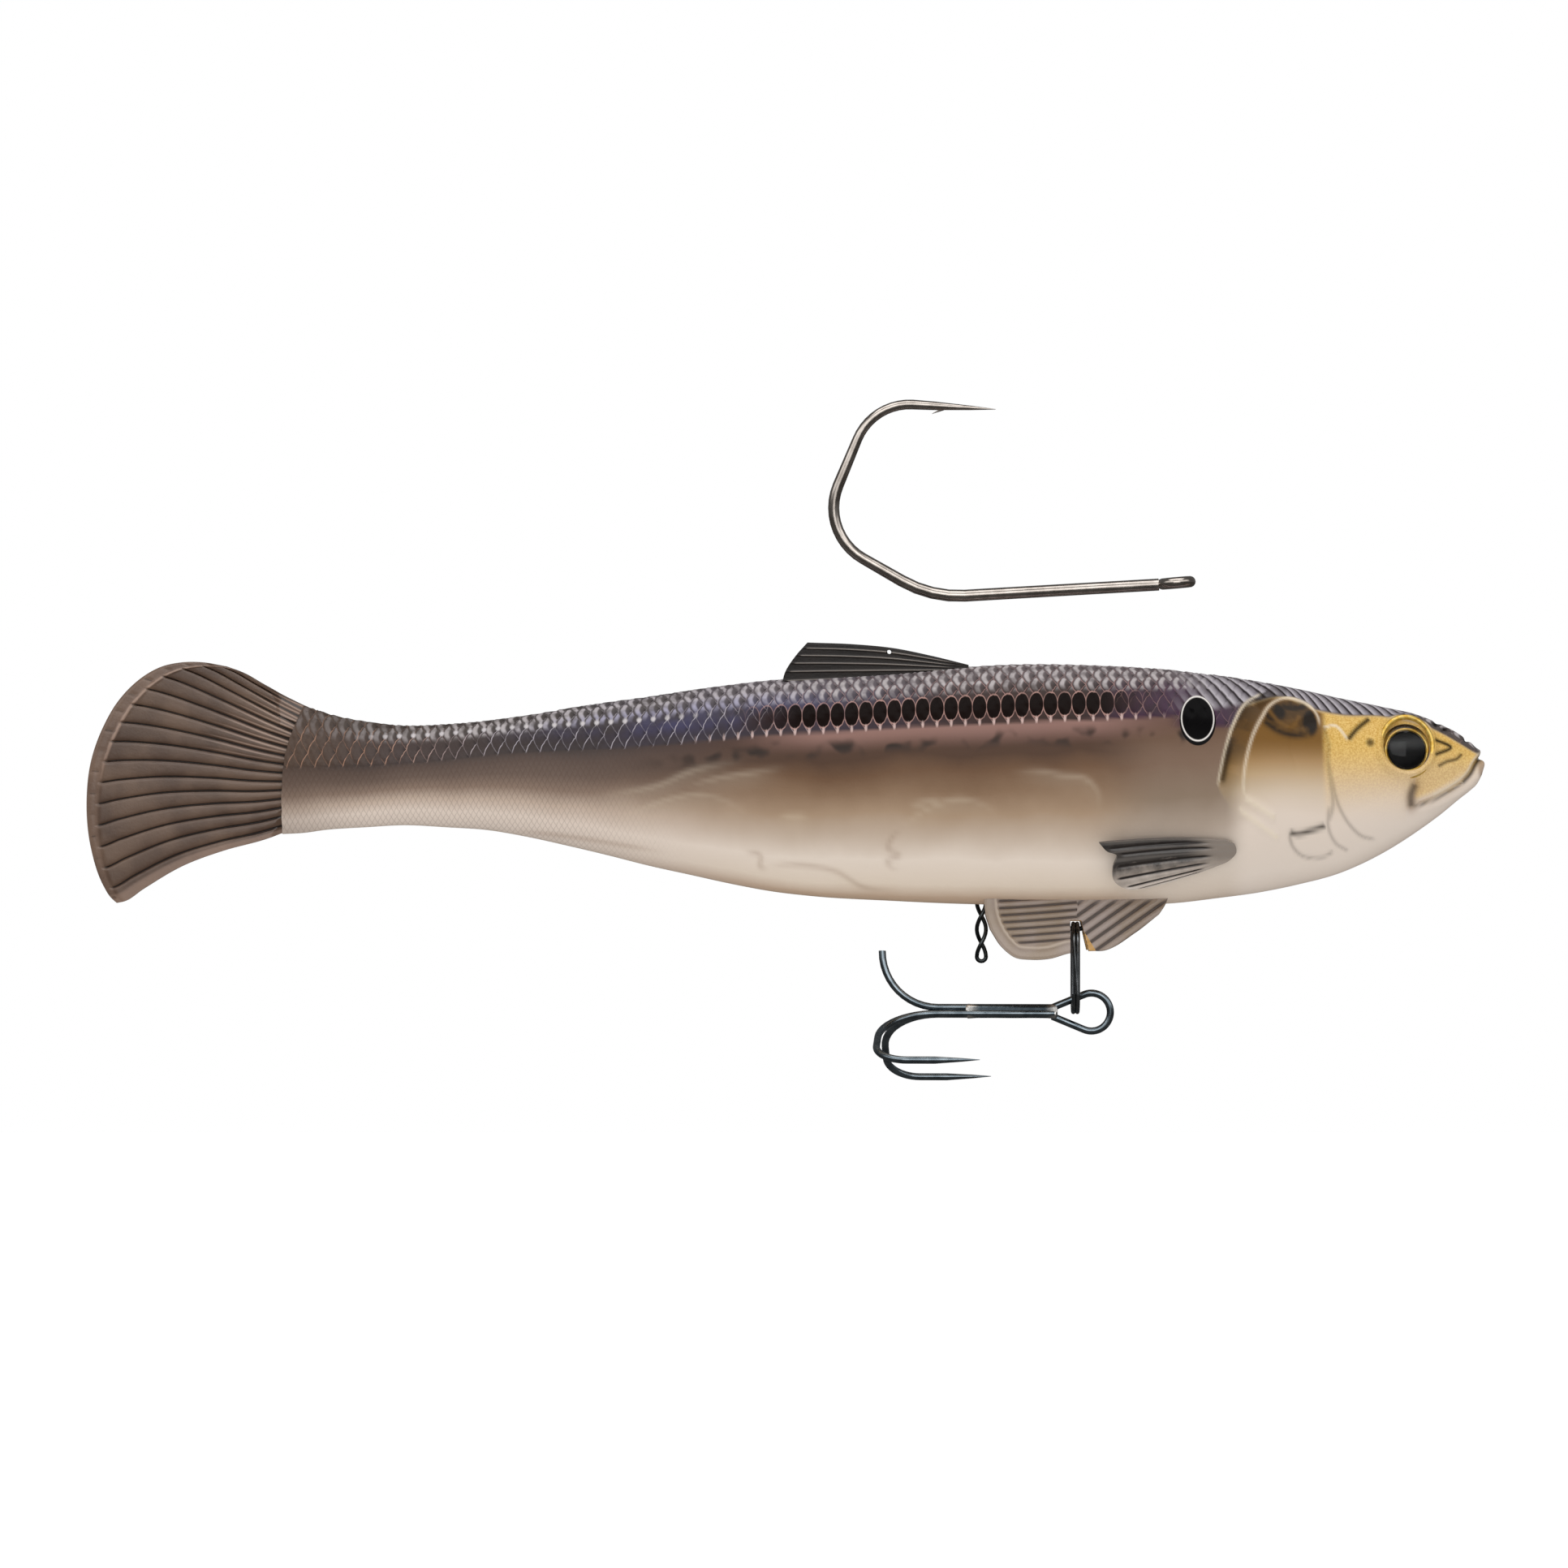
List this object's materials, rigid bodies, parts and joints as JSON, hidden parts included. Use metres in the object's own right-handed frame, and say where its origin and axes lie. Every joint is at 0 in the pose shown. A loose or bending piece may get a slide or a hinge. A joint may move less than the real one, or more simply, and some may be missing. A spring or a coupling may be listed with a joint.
{
  "type": "soft swimbait",
  "caption": "Soft fish-shaped fishing lure with a line-through tube, a slotted back, a sprung tail, a loose top hook and a treble hook on a split ring under the belly.",
  "frame": {"origin": "mouth end of the leader tube, on the tube's axis", "axes": "+X towards the nose, +Y towards the bait's left side, +Z towards its back"},
  "size_m": [0.2032, 0.03, 0.0995],
  "materials": {
    "soft_skin": "satin",
    "soft_fin": "satin",
    "dark_fin": "satin",
    "eye_foil": "gloss",
    "eye_lens": "gloss",
    "clear_tube": "gloss",
    "ballast": "matte",
    "steel_wire": "satin",
    "ring_steel": "polished",
    "hook_nickel": "polished",
    "treble_steel": "polished",
    "solder": "polished"
  },
  "bodies": {
    "bait": {"soft_body": "soft_skin", "dorsal_fin_right": "dark_fin", "dorsal_fin_left": "dark_fin", "pelvic_fin_right": "soft_fin", "pelvic_fin_left": "soft_fin", "eye_foil_right": "eye_foil", "eye_foil_left": "eye_foil", "eye_lens_right": "eye_lens", "eye_lens_left": "eye_lens", "leader_tube": "clear_tube", "belly_weight": "ballast", "harness_wire": "steel_wire", "rear_hanger": "steel_wire"},
    "tail": {"tail_stock": "soft_skin"},
    "tail_fin": {"tail_fin": "soft_fin"},
    "pectoral_right": {"pectoral_fin_right": "soft_fin"},
    "pectoral_left": {"pectoral_fin_left": "soft_fin"},
    "top_hook": {"top_hook": "hook_nickel"},
    "split_ring": {"split_ring": "ring_steel"},
    "treble": {"treble_main_wire": "treble_steel", "treble_third_prong": "treble_steel", "treble_braze": "solder"}
  },
  "joints": [
    {"name": "tail_bend", "type": "hinge", "parent": "bait", "child": "tail", "pos_m": [-0.1489, 0, 0], "axis": [0, 0, 1], "range_deg": [-30, 30], "stiffness_Nm_per_rad": 0.02},
    {"name": "tail_fin_bend", "type": "hinge", "parent": "tail", "child": "tail_fin", "pos_m": [-0.1735, 0, 0], "axis": [0, 0, 1], "range_deg": [-28, 28], "stiffness_Nm_per_rad": 0.004},
    {"name": "pectoral_right_flex", "type": "hinge", "parent": "bait", "child": "pectoral_right", "pos_m": [-0.0366, -0.0096, -0.0127], "axis": [0.0375, -0.3564, 0.9336], "range_deg": [0, 20], "stiffness_Nm_per_rad": 0.001},
    {"name": "pectoral_left_flex", "type": "hinge", "parent": "bait", "child": "pectoral_left", "pos_m": [-0.0366, 0.0096, -0.0127], "axis": [-0.0375, -0.3564, -0.9336], "range_deg": [0, 20], "stiffness_Nm_per_rad": 0.001},
    {"name": "top_hook_slide", "type": "slide", "parent": "bait", "child": "top_hook", "axis": [0, 0, 1], "range_m": [-0.0354, 0]},
    {"name": "ring_swing", "type": "hinge", "parent": "bait", "child": "split_ring", "pos_m": [-0.05865, 0, -0.02435], "axis": [1, 0, 0], "range_deg": [-40, 40]},
    {"name": "treble_swing", "type": "hinge", "parent": "split_ring", "child": "treble", "pos_m": [-0.05865, 0, -0.03646], "axis": [0, 1, 0], "range_deg": [-100, 8]}
  ]
}
